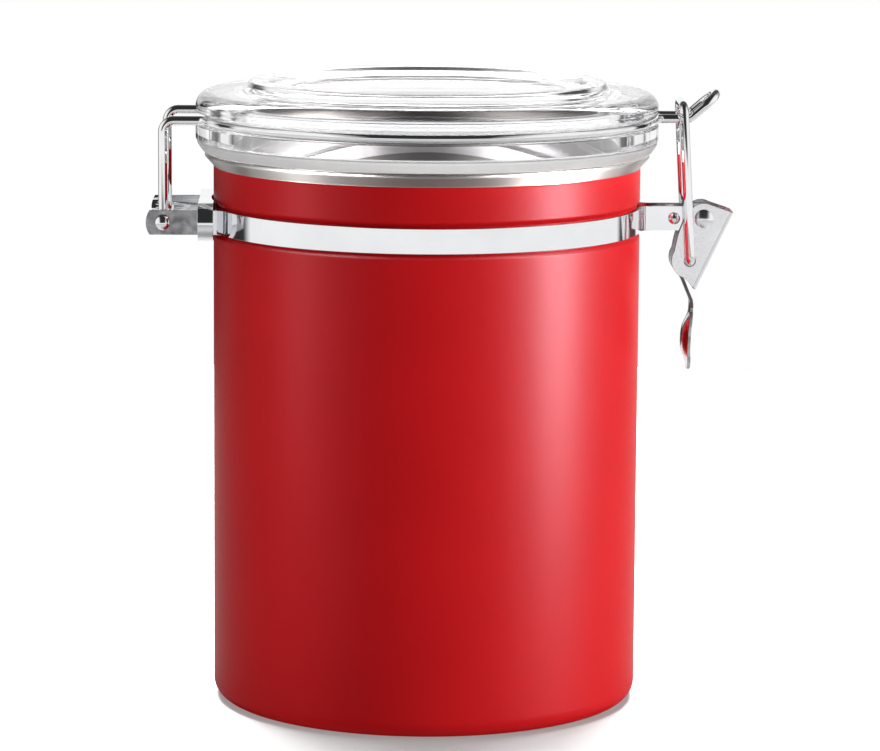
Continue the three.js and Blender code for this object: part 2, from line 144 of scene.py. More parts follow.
def new_finish(name):
    """A material, its node tree and the shader in it."""
    material = bpy.data.materials.new(name)
    material.use_nodes = True
    return material, material.node_tree, material.node_tree.nodes["Principled BSDF"]


def feed(tree, socket, value):
    """Links a socket to another, or sets it to a number or colour."""
    if isinstance(value, bpy.types.NodeSocket):
        tree.links.new(value, socket)
    else:
        socket.default_value = value


def place(tree, kind, **settings):
    """A node. Settings in small letters are its own, the others are its inputs."""
    node = tree.nodes.new("ShaderNode" + kind)
    for name, value in settings.items():
        if name[0].islower():
            setattr(node, name, value)
        else:
            feed(tree, node.inputs[name.replace("_", " ")], value)
    return node


def calc(tree, operation, *values):
    """The result of a sum with those values."""
    node = tree.nodes.new("ShaderNodeMath")
    node.operation = operation
    for socket, value in zip(node.inputs, values):
        feed(tree, socket, value)
    return node.outputs[0]


def spread(tree, value, low, high, to_low=0, to_high=1):
    """A value mapped from one range to another, held at the ends."""
    node = place(tree, "MapRange", Value=value, From_Min=low, From_Max=high)
    feed(tree, node.inputs["To Min"], to_low)
    feed(tree, node.inputs["To Max"], to_high)
    return node.outputs["Result"]


def object_place(tree):
    """The place on the piece that a pattern reads."""
    return place(tree, "TexCoord").outputs["Object"]


def tint(tree, skin, mask, dark, light):
    """Lets the base colour wander between two shades."""
    node = place(tree, "Mix", data_type="RGBA")
    for i, value in ((0, mask), (6, dark), (7, light)):
        feed(tree, node.inputs[i], value)
    feed(tree, skin.inputs["Base Color"], node.outputs[2])


def roughen(tree, skin, mask, low, high):
    """Lets the roughness wander between two limits."""
    feed(tree, skin.inputs["Roughness"], spread(tree, mask, 0, 1, low, high))


def emboss(tree, skin, height, strength, depth):
    """Raises a fine pattern by that depth in metres."""
    bump = place(tree, "Bump", Strength=strength, Distance=depth, Height=height)
    feed(tree, skin.inputs["Normal"], bump.outputs["Normal"])


def new_effect(name, inputs, outputs):
    """A shader node group with those inputs, by name and kind, and float outputs."""
    group = bpy.data.node_groups.new(name, "ShaderNodeTree")
    for socket, kind in inputs.items():
        group.interface.new_socket(name=socket, in_out="INPUT", socket_type="NodeSocket" + kind)
    for socket in outputs:
        group.interface.new_socket(name=socket, in_out="OUTPUT", socket_type="NodeSocketFloat")
    start = group.nodes.new("NodeGroupInput").outputs
    end = group.nodes.new("NodeGroupOutput").inputs
    return group, start, end


def use_effect(tree, group, **settings):
    """Puts a node group into a material and gives back its outputs."""
    node = tree.nodes.new("ShaderNodeGroup")
    node.node_tree = group
    for name, value in settings.items():
        feed(tree, node.inputs[name], value)
    return node.outputs


# Soft blotches of handling and dust, and the fine grain that lies over them.
grain_to_blotch = 24
handling, start, end = new_effect(
    "handling", {"Vector": "Vector", "Size": "Float"}, ["Blotch", "Grain"]
)
blotch_scale = calc(handling, "DIVIDE", 1, start["Size"])
blotch = place(handling, "TexNoise", Vector=start["Vector"], Scale=blotch_scale, Detail=4)
grain_scale = calc(handling, "DIVIDE", grain_to_blotch, start["Size"])
grain = place(handling, "TexNoise", Vector=start["Vector"], Scale=grain_scale, Detail=2)
feed(handling, end["Blotch"], spread(handling, blotch.outputs["Fac"], 0.35, 0.7))
feed(handling, end["Grain"], spread(handling, grain.outputs["Fac"], 0.3, 0.7))

# The lines that a lathe or a drawing die leaves round a turned surface.
line_drift = 6
turned_lines, start, end = new_effect(
    "turned_lines", {"Vector": "Vector", "Fineness": "Float"}, ["Lines"]
)
parts = place(turned_lines, "SeparateXYZ", Vector=start["Vector"]).outputs
across = calc(turned_lines, "MULTIPLY", parts["X"], parts["X"])
across = calc(turned_lines, "MULTIPLY_ADD", parts["Y"], parts["Y"], across)
across = calc(turned_lines, "MULTIPLY", calc(turned_lines, "SQRT", across), start["Fineness"])
upwards = calc(turned_lines, "MULTIPLY", parts["Z"], start["Fineness"])
around = calc(turned_lines, "ABSOLUTE", calc(turned_lines, "ARCTAN2", parts["Y"], parts["X"]))
around = calc(turned_lines, "MULTIPLY", around, line_drift)
ring_place = place(turned_lines, "CombineXYZ", X=across, Y=around, Z=upwards).outputs["Vector"]
lines = place(turned_lines, "TexNoise", Vector=ring_place, Scale=1, Detail=3)
feed(turned_lines, end["Lines"], spread(turned_lines, lines.outputs["Fac"], 0.3, 0.7))

red_coat, tree, skin = new_finish("red_powder_coat")
where = object_place(tree)
touch = use_effect(tree, handling, Vector=where, Size=30 * mm)
peel = place(tree, "TexNoise", Vector=where, Scale=peel_fineness, Detail=2)
tint(tree, skin, touch["Blotch"], red_deep, red_light)
roughen(tree, skin, touch["Grain"], 0.37, 0.42)
emboss(tree, skin, peel.outputs["Fac"], 0.08, 0.04 * mm)
skin.inputs["Specular IOR Level"].default_value = 0.045
skin.inputs["Specular Tint"].default_value = (1, 0.86, 1, 1)


def brushed_round(name, dark, light, roughness):
    """Steel brushed round the can, whose highlights run up and down."""
    material, tree, skin = new_finish(name)
    where = object_place(tree)
    rings = use_effect(tree, turned_lines, Vector=where, Fineness=brush_fineness)["Lines"]
    touch = use_effect(tree, handling, Vector=where, Size=20 * mm)
    tint(tree, skin, touch["Blotch"], dark, light)
    roughen(tree, skin, rings, roughness, roughness + 0.06)
    emboss(tree, skin, rings, 0.04, 0.03 * mm)
    along_brush = place(tree, "Tangent", direction_type="RADIAL", axis="Z")
    feed(tree, skin.inputs["Tangent"], along_brush.outputs["Tangent"])
    skin.inputs["Anisotropic"].default_value = 0.9
    skin.inputs["Anisotropic Rotation"].default_value = 0.25
    skin.inputs["Metallic"].default_value = 1
    return material


flare_steel = brushed_round("flare_steel", flare_dark, flare_light, 0.4)
# One bare steel, darkened inside as painted shade and lightened at the mouth as painted light.
painted_shade_inside_steel = brushed_round("brushed_inside_painted_shade", painted_shade_inside_dark, painted_shade_inside_light, 0.44)
painted_light_lip_steel = brushed_round("lip_painted_light", painted_light_lip_dark, painted_light_lip_light, 0.3)
can = turned("can_shell", can_corners)
for finish in (red_coat, flare_steel, painted_shade_inside_steel, painted_light_lip_steel):
    can.data.materials.append(finish)
# Outward faces take the red paint or the flare's steel; inside faces take painted shade below the
# lip foot and painted light above it.
for face in can.data.polygons:
    faces_out = face.normal.dot(Vector((face.center.x, face.center.y, 0))) > 0
    underside = face.center.z < can_wall / 2 * mm
    if faces_out or underside:
        face.material_index = 0 if face.center.z < paint_edge * mm else 1
    else:
        face.material_index = 2 if face.center.z < lip_foot * mm else 3
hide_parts("canister_body")
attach(can, "can")

# HINGE BRIDGE
# A pressed and polished steel collar that lies against the can at the hinge side. A slot at each
# end lets a hinge arm of the strap through, so the collar ties the two arms together.
strap_z = 137.2
hinge_arm_y = 18.7
bridge_low = Vector((-63.9, -21.9, 131.95))
bridge_high = Vector((-59.6, 21.9, 142.45))
bridge_corner = 5
bridge_bore = 60.6
slot_half = Vector((20, 0.7, 3.7))
polish_dark, polish_light = (0.80, 0.81, 0.83, 1), (0.86, 0.87, 0.88, 1)
hair_fineness = (40, 40, 5200)


def select_edges(piece, wanted):
    """Selects, in edit mode, only the edges whose two ends pass a test together."""
    bpy.ops.object.mode_set(mode="EDIT")
    bpy.ops.mesh.select_mode(type="EDGE")
    bpy.ops.mesh.select_all(action="DESELECT")
    bpy.ops.object.mode_set(mode="OBJECT")
    for edge in piece.data.edges:
        one, other = (piece.data.vertices[v].co for v in edge.vertices)
        edge.select = wanted(one, other)
    bpy.ops.object.mode_set(mode="EDIT")


def cut(piece, cutter, operation="DIFFERENCE"):
    """Cuts or joins another body, which is used up."""
    bpy.context.view_layer.objects.active = piece
    bpy.ops.object.modifier_add(type="BOOLEAN")
    change = piece.modifiers[-1]
    change.operation = operation
    change.solver = "EXACT"
    change.object = cutter
    bpy.ops.object.modifier_apply(modifier=change.name)
    bpy.data.objects.remove(cutter)


def soften(piece, width, edge_slot=-1):
    """Breaks the sharp edges of a finished piece, whose broad faces still shade as flat."""
    bpy.ops.object.select_all(action="DESELECT")
    piece.select_set(True)
    bpy.context.view_layer.objects.active = piece
    bpy.ops.object.modifier_add(type="BEVEL")
    change = piece.modifiers[-1]
    change.width = width * mm
    change.segments = 3
    change.limit_method = "ANGLE"
    change.angle_limit = math.radians(40)
    change.material = edge_slot
    bpy.ops.object.modifier_apply(modifier=change.name)
    bpy.ops.object.shade_smooth_by_angle(angle=math.radians(50))
    bpy.ops.object.modifier_add(type="WEIGHTED_NORMAL")
    change = piece.modifiers[-1]
    change.keep_sharp = True
    bpy.ops.object.modifier_apply(modifier=change.name)


def block(low, high):
    """A box between two corners in millimetres, with its place in its mesh."""
    bpy.ops.object.select_all(action="DESELECT")
    middle = (low + high) / 2 * mm
    bpy.ops.mesh.primitive_cube_add(size=1, location=middle, scale=(high - low) * mm)
    bpy.ops.object.transform_apply(location=True, rotation=True, scale=True)
    return bpy.context.active_object


polished, tree, skin = new_finish("polished_steel")
where = object_place(tree)
touch = use_effect(tree, handling, Vector=where, Size=12 * mm)
level = place(tree, "VectorMath", operation="MULTIPLY", Vector=where)
level.inputs[1].default_value = hair_fineness
hairs = place(tree, "TexNoise", Vector=level.outputs["Vector"], Scale=1, Detail=2).outputs["Fac"]
tint(tree, skin, touch["Blotch"], polish_dark, polish_light)
feed(tree, skin.inputs["Roughness"], spread(tree, hairs, 0.3, 0.7, 0.05, 0.11))
emboss(tree, skin, hairs, 0.03, 0.02 * mm)
skin.inputs["Metallic"].default_value = 1

bridge = block(bridge_low, bridge_high)
bridge.name = "hinge_collar"
select_edges(bridge, lambda one, other: abs(one.x - other.x) > mm)
bpy.ops.mesh.bevel(offset=bridge_corner * mm, segments=12, affect="EDGES")
bpy.ops.object.mode_set(mode="OBJECT")
bpy.ops.mesh.primitive_cylinder_add(
    vertices=256, radius=bridge_bore * mm, depth=40 * mm, location=(0, 0, strap_z * mm)
)
cut(bridge, bpy.context.active_object)
for side in (-1, 1):
    slot_middle = Vector((-64, side * hinge_arm_y, strap_z))
    cut(bridge, block(slot_middle - slot_half, slot_middle + slot_half))
soften(bridge, 0.35)
bridge.data.materials.clear()
bridge.data.materials.append(polished)
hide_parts("hinge_bridge")
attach(bridge, "can")

# STRAP
# Two halves of one polished steel band, 6.8 mm wide. Each lies in the can's groove and is bent
# straight out at its ends, into a hinge arm with a blunt end and a latch arm with a round end.
strap_sheet = 0.8
strap_half = 3.4
strap_middle = 59.9
strap_bend = 4
latch_arm_y = 4.1
hinge_x = -73.6
pivot_x = 77.8
stop_x = 69.5
pin_hole = 1.65
pivot_hole = 2
stop_hole = 1.5
hinge_end_x = -78.3
hinge_end_radius = 6
hinge_end_back_x = hinge_x + 1
brushed_from_x = -60
edge_break = 0.25
brushed_dark, brushed_light = (0.26, 0.26, 0.27, 1), (0.60, 0.60, 0.62, 1)
# The edge finish is a duller cut steel, darkened further as painted shade along the edges.
sheared_painted_shade_dark, sheared_painted_shade_light = (0.10, 0.095, 0.09, 1), (0.24, 0.23, 0.22, 1)


def extrude_by(x, y=0, z=0):
    """Extrudes what is selected by a distance in millimetres."""
    bpy.ops.mesh.extrude_region_move(TRANSFORM_OT_translate={"value": Vector((x, y, z)) * mm})


def swing(x, y, turn, steps):
    """Carries the selected edge round an upright line, anticlockwise from above."""
    middle = Vector((x, y, 0)) * mm
    bpy.ops.mesh.spin(steps=steps, angle=-turn, center=middle, axis=(0, 0, 1))


def thicken(piece, thickness):
    """Gives a sheet its thickness, half to each side. Its sheared edge takes the second finish,
    with painted shade.
    """
    bpy.context.view_layer.objects.active = piece
    bpy.ops.object.modifier_add(type="SOLIDIFY")
    change = piece.modifiers[-1]
    change.thickness = thickness * mm
    change.offset = 0
    change.use_even_offset = True
    change.material_offset_rim = 1
    bpy.ops.object.modifier_apply(modifier=change.name)


def rod(radius, x, z, y_from, y_to):
    """A round bar along Y, with its place in its mesh."""
    middle = Vector((x, (y_from + y_to) / 2, z)) * mm
    depth = (y_to - y_from) * mm
    bpy.ops.object.select_all(action="DESELECT")
    bpy.ops.mesh.primitive_cylinder_add(
        vertices=64, radius=radius * mm, depth=depth, location=middle, rotation=(math.pi / 2, 0, 0)
    )
    bpy.ops.object.transform_apply(location=True, rotation=True, scale=True)
    return bpy.context.active_object


brushed, tree, skin = new_finish("brushed_steel")
where = object_place(tree)
touch = use_effect(tree, handling, Vector=where, Size=2.5 * mm)
speckle = use_effect(tree, handling, Vector=where, Size=16 * mm)
tint(tree, skin, touch["Blotch"], brushed_dark, brushed_light)
roughen(tree, skin, speckle["Grain"], 0.28, 0.42)
emboss(tree, skin, speckle["Grain"], 0.25, 0.05 * mm)
skin.inputs["Metallic"].default_value = 1

# Sheared edges: duller cut steel, darkened as painted shade along every edge.
sheared_painted_shade, tree, skin = new_finish("sheared_edge_painted_shade")
touch = use_effect(tree, handling, Vector=object_place(tree), Size=4 * mm)
tint(tree, skin, touch["Blotch"], sheared_painted_shade_dark, sheared_painted_shade_light)
roughen(tree, skin, touch["Grain"], 0.3, 0.45)
skin.inputs["Metallic"].default_value = 1

corner_circle = strap_middle + strap_bend
hinge_turn = math.asin((hinge_arm_y + strap_bend) / corner_circle)
latch_turn = math.asin((latch_arm_y + strap_bend) / corner_circle)
hinge_bend_x = -corner_circle * math.cos(hinge_turn)
latch_bend_x = corner_circle * math.cos(latch_turn)
quarter = math.pi / 2
blunt_steps = 12
blunt_end = []
for i in range(blunt_steps + 1):
    rise = strap_half * math.sin(math.pi * i / blunt_steps - quarter)
    end_x = hinge_end_x + hinge_end_radius - math.sqrt(hinge_end_radius**2 - rise**2)
    blunt_end.append(Vector((end_x, -hinge_arm_y, strap_z + rise)) * mm)
strap = draw_line("strap_half_front", blunt_end)
bpy.ops.mesh.select_all(action="SELECT")
extrude_by(4)
end_back = Vector((hinge_end_back_x, 0, strap_z)) * mm
bpy.ops.transform.resize(value=(0, 1, 1), center_override=end_back)
extrude_by(hinge_bend_x - hinge_end_back_x)
swing(hinge_bend_x, -hinge_arm_y - strap_bend, hinge_turn - quarter, 12)
swing(0, 0, math.pi - hinge_turn - latch_turn, 96)
swing(latch_bend_x, -latch_arm_y - strap_bend, latch_turn - quarter, 12)
extrude_by(pivot_x - latch_bend_x)
round_steps = 8
for i in range(round_steps):
    here = quarter * i / round_steps
    there = quarter * (i + 1) / round_steps
    extrude_by(strap_half * (math.sin(there) - math.sin(here)))
    shrink = math.cos(there) / math.cos(here)
    bpy.ops.transform.resize(value=(1, 1, shrink), center_override=(0, 0, strap_z * mm))
close_up()
for finish in (polished, sheared_painted_shade, brushed):
    strap.data.materials.append(finish)
thicken(strap, strap_sheet)
cut(strap, rod(pin_hole, hinge_x, strap_z, -30, -10))
cut(strap, rod(pivot_hole, pivot_x, strap_z, -10, 10))
cut(strap, rod(stop_hole, stop_x, strap_z, -10, 10))
# The broken edges take the dark edge finish, which paints shade along them.
soften(strap, edge_break, edge_slot=1)
for face in strap.data.polygons:
    on_arm = face.center.x < brushed_from_x * mm and face.normal.y < -0.5
    if face.material_index == 0 and on_arm:
        face.material_index = 2
bpy.ops.object.duplicate()
strap_rear = bpy.context.active_object
strap_rear.name = "strap_half_rear"
bpy.ops.object.mode_set(mode="EDIT")
bpy.ops.mesh.select_all(action="SELECT")
bpy.ops.transform.resize(value=(1, -1, 1), center_override=(0, 0, 0))
bpy.ops.mesh.normals_make_consistent(inside=False)
bpy.ops.object.mode_set(mode="OBJECT")
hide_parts("strap_front")
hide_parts("strap_rear")
for piece in (strap, strap_rear):
    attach(piece, "can")

# RIVETS AND SLEEVES
# Two domed steel rivets go through the latch arms: the large one carries the lever, the small one
# ties the arms. A turned sleeve on each holds the arms apart.
head_skirt = 0.15
sleeve_half = 3.4
satin_dark, satin_light = (0.86, 0.86, 0.88, 1), (0.92, 0.92, 0.94, 1)


def turned_across(name, corners, x):
    """A profile of radius and distance along Y, spun about a line at the strap's height."""
    middle = Vector((x, 0, strap_z))
    shifted = [(Vector((radius, along, 0)) + middle, 0) for radius, along in corners]
    piece = draw_line(name, rounded(shifted))
    bpy.ops.mesh.select_all(action="SELECT")
    bpy.ops.mesh.spin(steps=48, angle=2 * math.pi, center=middle * mm, axis=(0, 1, 0))
    close_up(50)
    return piece


def head(radius, foot, rise, steps=8):
    """The profile of a domed head with a low skirt, from its crown to its foot."""
    crown = foot + rise
    bulge = rise - head_skirt
    ball = (radius**2 + bulge**2) / (2 * bulge)
    reach = math.asin(radius / ball)
    angles = [reach * i / steps for i in range(steps + 1)]
    dome = [(ball * math.sin(a), crown - ball * (1 - math.cos(a))) for a in angles]
    return [*dome, (radius, foot)]


def rivet(name, shank, radius, foot, rise, x):
    """A shank with a domed head at each end."""
    far = [*head(radius, foot, rise), (shank, foot)]
    near = [(out, -along) for out, along in reversed(far)]
    return turned_across(name, far + near, x)


def sleeve(name, bore, wall, x):
    """A short tube on a rivet."""
    outer = bore + wall
    near, far = -sleeve_half, sleeve_half
    corners = [(bore, near), (outer, near), (outer, far), (bore, far), (bore, near)]
    return turned_across(name, corners, x)


satin, tree, skin = new_finish("satin_steel")
touch = use_effect(tree, handling, Vector=object_place(tree), Size=6 * mm)
tint(tree, skin, touch["Blotch"], satin_dark, satin_light)
roughen(tree, skin, touch["Grain"], 0.14, 0.24)
emboss(tree, skin, touch["Grain"], 0.06, 0.03 * mm)
skin.inputs["Metallic"].default_value = 1

latch_pieces = {
    "lever_rivet": rivet("rivet_large", shank=1.7, radius=2.6, foot=6, rise=1, x=pivot_x),
    "stop_rivet": rivet("rivet_small", shank=1.2, radius=1.65, foot=4.8, rise=1.1, x=stop_x),
    "pivot_spacer": sleeve("sleeve_large", bore=2, wall=1, x=pivot_x),
    "stop_spacer": sleeve("sleeve_small", bore=1.5, wall=0.9, x=stop_x),
}
for node, piece in latch_pieces.items():
    piece.data.materials.append(satin)
    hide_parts(node)
    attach(piece, "can")

# LID
# Injection-moulded clear acrylic: a plug that enters the mouth, a flange, a groove for the hoop,
# a rounded shoulder, a raised ring and a sunk disc.
lid_radius = 65
plug_inner = 54.4
plug_outer = 57.4
plug_foot = 152.06
flange_foot = 159.06
hoop_groove = 62.35
hoop_groove_low = 163.66
hoop_groove_high = 166.96
shoulder_top = 172.46
ring_top = 175.56
disc_under = 170.26
disc_top = 173.26
lid_corners = [
    ((0, 0, disc_under), 0),
    ((plug_inner, 0, disc_under), 4.3),
    ((plug_inner, 0, plug_foot), 0.5),
    ((plug_outer, 0, plug_foot), 0.8),
    ((plug_outer, 0, flange_foot), 0.3),
    ((lid_radius, 0, flange_foot), 0.5),
    ((lid_radius, 0, hoop_groove_low), 0.4),
    ((hoop_groove, 0, hoop_groove_low), 0.6),
    ((hoop_groove, 0, hoop_groove_high), 0.6),
    ((lid_radius, 0, hoop_groove_high), 0.35),
    ((lid_radius, 0, shoulder_top), 4.3),
    ((52, 0, shoulder_top), 1.2),
    ((49.6, 0, ring_top), 1),
    ((45.4, 0, ring_top), 0.6),
    ((44.2, 0, disc_top), 0.8),
    ((0, 0, disc_top), 0),
]
clear_acrylic, tree, skin = new_finish("clear_acrylic")
touch = use_effect(tree, handling, Vector=object_place(tree), Size=15 * mm)
roughen(tree, skin, touch["Blotch"], 0, 0.015)
skin.inputs["Base Color"].default_value = (0.985, 0.985, 0.99, 1)
skin.inputs["Transmission Weight"].default_value = 1
skin.inputs["IOR"].default_value = 1.49
let_through = place(tree, "BsdfTransparent", Color=(0.92, 0.92, 0.93, 1))
either = tree.nodes.new("ShaderNodeMixShader")
feed(tree, either.inputs[0], place(tree, "LightPath").outputs["Is Shadow Ray"])
feed(tree, either.inputs[1], skin.outputs[0])
feed(tree, either.inputs[2], let_through.outputs[0])
tree.links.new(either.outputs[0], tree.nodes["Material Output"].inputs["Surface"])

lid = turned("lid_clear", lid_corners, bend_steps=16)
lid.data.materials.append(clear_acrylic)
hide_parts("lid")
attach(lid, "lid")

# GASKET
# A moulded ring of milky silicone, pushed on the lid's plug and lying under its flange. Its outer
# side is a soft bulge, and the clamp presses its foot on the can's rim.
seal_inner = 57.7
seal_outer = 64.6
seal_foot = 155.66
seal_top = 158.76
gasket_corners = [
    ((seal_inner, 0, 157), 0),
    ((seal_inner, 0, seal_foot), 0.3),
    ((62.9, 0, seal_foot), 1.2),
    ((seal_outer, 0, 158.2), 1.2),
    ((seal_outer, 0, seal_top), 0.2),
    ((seal_inner, 0, seal_top), 0.3),
    ((seal_inner, 0, 157), 0),
]
milky_dark, milky_light = (0.82, 0.815, 0.81, 1), (0.88, 0.875, 0.87, 1)
silicone, tree, skin = new_finish("milky_silicone")
touch = use_effect(tree, handling, Vector=object_place(tree), Size=8 * mm)
tint(tree, skin, touch["Blotch"], milky_dark, milky_light)
roughen(tree, skin, touch["Grain"], 0.36, 0.5)
skin.inputs["Subsurface Weight"].default_value = 0.4
skin.inputs["Subsurface Radius"].default_value = (1, 1, 1)
skin.inputs["Subsurface Scale"].default_value = 2 * mm

gasket = turned("lid_seal", gasket_corners)
gasket.data.materials.append(silicone)
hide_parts("lid_gasket")
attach(gasket, "lid")

# HOOP
# One chromed wire of 2.6 mm: a headed pin in each hinge arm, two legs, a ring in the lid's groove
# and a rising hook loop over the latch.
wire_radius = 1.3
hoop_z = 165.31
hoop_radius = 63.98
hoop_bend = 3
pin_end_y = 20
pin_bend = 2.08
pin_head_radius = 2.2
pin_head_foot = 19.4
pin_head_rise = 1.5
leg_y = 16.7
hook_y = 5
hook_x = 73.4
hook_length = 10.2
hook_rise = math.radians(41)
chrome_dark, chrome_light = (0.84, 0.84, 0.85, 1), (0.90, 0.90, 0.91, 1)


def bow(x, y, radius, start, end, steps):
    """Points along a level arc at the hoop's height, angles in radians, in millimetres."""
    angles = [start + (end - start) * i / steps for i in range(steps + 1)]
    return [Vector((x + radius * math.cos(a), y + radius * math.sin(a), hoop_z)) for a in angles]


def bent_wire(name, points):
    """A round wire along points in metres, with closed ends."""
    piece = draw_line(name, points)
    bpy.ops.object.mode_set(mode="OBJECT")
    bpy.ops.object.convert(target="CURVE")
    piece.data.bevel_depth = wire_radius * mm
    piece.data.bevel_resolution = 6
    piece.data.use_fill_caps = True
    bpy.ops.object.convert(target="MESH")
    bpy.ops.object.mode_set(mode="EDIT")
    close_up(50)
    return piece


def both_halves(front_half):
    """A wire's front half, then the same mirrored. They share a point only on the middle plane."""
    rear_half = [Vector((p.x, -p.y, p.z)) for p in reversed(front_half)]
    shared = abs(front_half[-1].y) < 1e-7
    return front_half + (rear_half[1:] if shared else rear_half)


chrome, tree, skin = new_finish("chrome_wire")
touch = use_effect(tree, handling, Vector=object_place(tree), Size=6 * mm)
tint(tree, skin, touch["Blotch"], chrome_dark, chrome_light)
roughen(tree, skin, touch["Grain"], 0.03, 0.08)
skin.inputs["Metallic"].default_value = 1

turn_circle = hoop_radius + hoop_bend
leg_turn = math.asin((leg_y + hoop_bend) / turn_circle)
hook_turn = math.asin((hook_y + hoop_bend) / turn_circle)
leg_bend_x = -turn_circle * math.cos(leg_turn)
hook_bend_x = turn_circle * math.cos(hook_turn)
leg_bow = bow(leg_bend_x, -leg_y - hoop_bend, hoop_bend, quarter, leg_turn, 8)
lid_bow = bow(0, 0, hoop_radius, math.pi + leg_turn, 2 * math.pi - hook_turn, 72)
hook_bow = bow(hook_bend_x, -hook_y - hoop_bend, hoop_bend, math.pi - hook_turn, quarter, 8)
ring = leg_bow + lid_bow[1:] + hook_bow[1:]
tip_x = hook_x + hook_length * math.cos(hook_rise)
tip_z = hoop_z + hook_length * math.sin(hook_rise)
pin_and_leg = [
    ((hinge_x, -pin_end_y, strap_z), 0),
    ((hinge_x, -leg_y, strap_z), pin_bend),
    ((hinge_x, -leg_y, hoop_z), hoop_bend),
    (ring[0], 0),
]
hook = [
    (ring[-1], 0),
    ((hook_x, -hook_y, hoop_z), hoop_bend),
    ((tip_x, -hook_y, tip_z), hook_y),
    ((tip_x, 0, tip_z), 0),
]
front_half = rounded(pin_and_leg)[:-1] + [p * mm for p in ring] + rounded(hook, 12)[1:-1]
hoop = bent_wire("hoop_wire", both_halves(front_half))
pin_head = [*head(pin_head_radius, pin_head_foot, pin_head_rise), (0, pin_head_foot)]
heads = []
for side in (-1, 1):
    corners = [(out, side * along) for out, along in pin_head]
    heads.append(turned_across("pin_head", corners, hinge_x))
bpy.ops.object.select_all(action="DESELECT")
for piece in [hoop, *heads]:
    piece.select_set(True)
bpy.context.view_layer.objects.active = hoop
bpy.ops.object.join()
hoop.data.materials.append(chrome)
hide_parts("lid_hoop")
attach(hoop, "lid")

# LEVER
# One steel stamping: two cheeks folded from a web, which turn on the large rivet, and a narrow neck
# that ends in a dished finger paddle.
lever_sheet = 0.9
cheek_y = 5.25
eye_x = 74
eye_z = 125.3
eye_hole = 1.65
heel_radius = 4.4
lobe_radius = 5.1
waist = Vector((70.8, 0, 135.7))
web_top = Vector((86.2, 0, 138.9))
web_foot = Vector((74.9, 0, 115))
cheek_short = 2.2
fold = 0.9
neck_half = 3.2
neck_line = [(72.2, 120), (73.6, 116.6), (74.8, 113.8), (75, 112.6)]
paddle_x = 75
paddle_lean = 0.7
paddle_top = 111.6
paddle_foot = 93.7
paddle_half = 6.5
dish_depth = 2
dish_floor = 2.6
dish_reach = 6.2
web_way = (web_foot - web_top).normalized()
web_face = Vector((web_way.z, 0, -web_way.x))
sheet_shift = web_face * lever_sheet / 2


def sweep(x, z, radius, start, end, steps):
    """Points along an upright arc, angles in degrees, in millimetres."""
    angles = [math.radians(start + (end - start) * i / steps) for i in range(steps + 1)]
    return [Vector((x + radius * math.cos(a), 0, z + radius * math.sin(a))) for a in angles]


def on_web(co):
    """Whether a point lies in the middle plane of the web's sheet."""
    return abs((co - (web_top + sheet_shift) * mm).dot(web_face)) < 0.02 * mm


def on_fold(one, other):
    """Whether an edge is one of the two along which a cheek is folded from the web."""
    return on_web(one) and on_web(other) and abs(one.y - other.y) < 0.01 * mm


heel = sweep(pivot_x, strap_z, heel_radius, 60, 144, 12)
lobe = sweep(eye_x, eye_z, lobe_radius, 148, 256, 18)
throat = []
for i in range(1, 10):
    t = i / 10
    throat.append(heel[-1] * (1 - t) ** 2 + waist * 2 * t * (1 - t) + lobe[0] * t**2)
cheek_foot = web_foot - web_way * cheek_short + sheet_shift
cheek_line = [web_top + sheet_shift, *heel, *throat, *lobe, cheek_foot]
cheek_side = Vector((0, cheek_y, 0))
lever = draw_line("latch_channel", [(p - cheek_side) * mm for p in cheek_line])
bpy.ops.mesh.select_all(action="SELECT")
bpy.ops.mesh.edge_face_add()
select_edges(lever, lambda one, other: on_web(one) and on_web(other))
extrude_by(0, 2 * cheek_y)
bpy.ops.object.mode_set(mode="OBJECT")
draw_line("far_cheek", [(p + cheek_side) * mm for p in cheek_line])
bpy.ops.mesh.select_all(action="SELECT")
bpy.ops.mesh.edge_face_add()
bpy.ops.object.mode_set(mode="OBJECT")
lever.select_set(True)
bpy.context.view_layer.objects.active = lever
bpy.ops.object.join()
bpy.ops.object.mode_set(mode="EDIT")
close_up()
select_edges(lever, on_fold)
bpy.ops.mesh.bevel(offset=fold * mm, segments=5, affect="EDGES")
bpy.ops.object.mode_set(mode="OBJECT")
for finish in (satin, sheared_painted_shade, brushed):
    lever.data.materials.append(finish)
thicken(lever, lever_sheet)

tongue_rows = [(point, neck_half) for point in neck_line]
paddle_steps = 16
for i in range(paddle_steps + 1):
    share = i / paddle_steps
    half_width = paddle_half * math.sqrt(max(0.02, 1 - (2 * share - 1) ** 2))
    if share < 0.5:
        half_width = max(half_width, neck_half)
    row_z = paddle_top + (paddle_foot - paddle_top) * share
    tongue_rows.append(((paddle_x - paddle_lean * share, row_z), half_width))
neck_x, neck_z = neck_line[0]
first_row = [Vector((neck_x, neck_half * (i / 6 - 1), neck_z)) * mm for i in range(13)]
paddle = draw_line("paddle", first_row)
bpy.ops.mesh.select_all(action="SELECT")
for ((x, z), width), ((next_x, next_z), next_width) in zip(tongue_rows, tongue_rows[1:]):
    extrude_by(next_x - x, 0, next_z - z)
    bpy.ops.transform.resize(value=(1, next_width / width, 1), center_override=(0, 0, 0))
bpy.ops.mesh.select_all(action="DESELECT")
bpy.ops.object.mode_set(mode="OBJECT")
dish_middle = Vector((paddle_x - paddle_lean / 2, 0, (paddle_top + paddle_foot) / 2)) * mm
for vertex in paddle.data.vertices:
    vertex.select = (vertex.co - dish_middle).length < dish_floor * mm
bpy.ops.object.mode_set(mode="EDIT")
bpy.ops.transform.translate(
    value=(-dish_depth * mm, 0, 0),
    use_proportional_edit=True,
    proportional_edit_falloff="SMOOTH",
    proportional_size=dish_reach * mm,
)
close_up()
for finish in (satin, sheared_painted_shade, brushed):
    paddle.data.materials.append(finish)
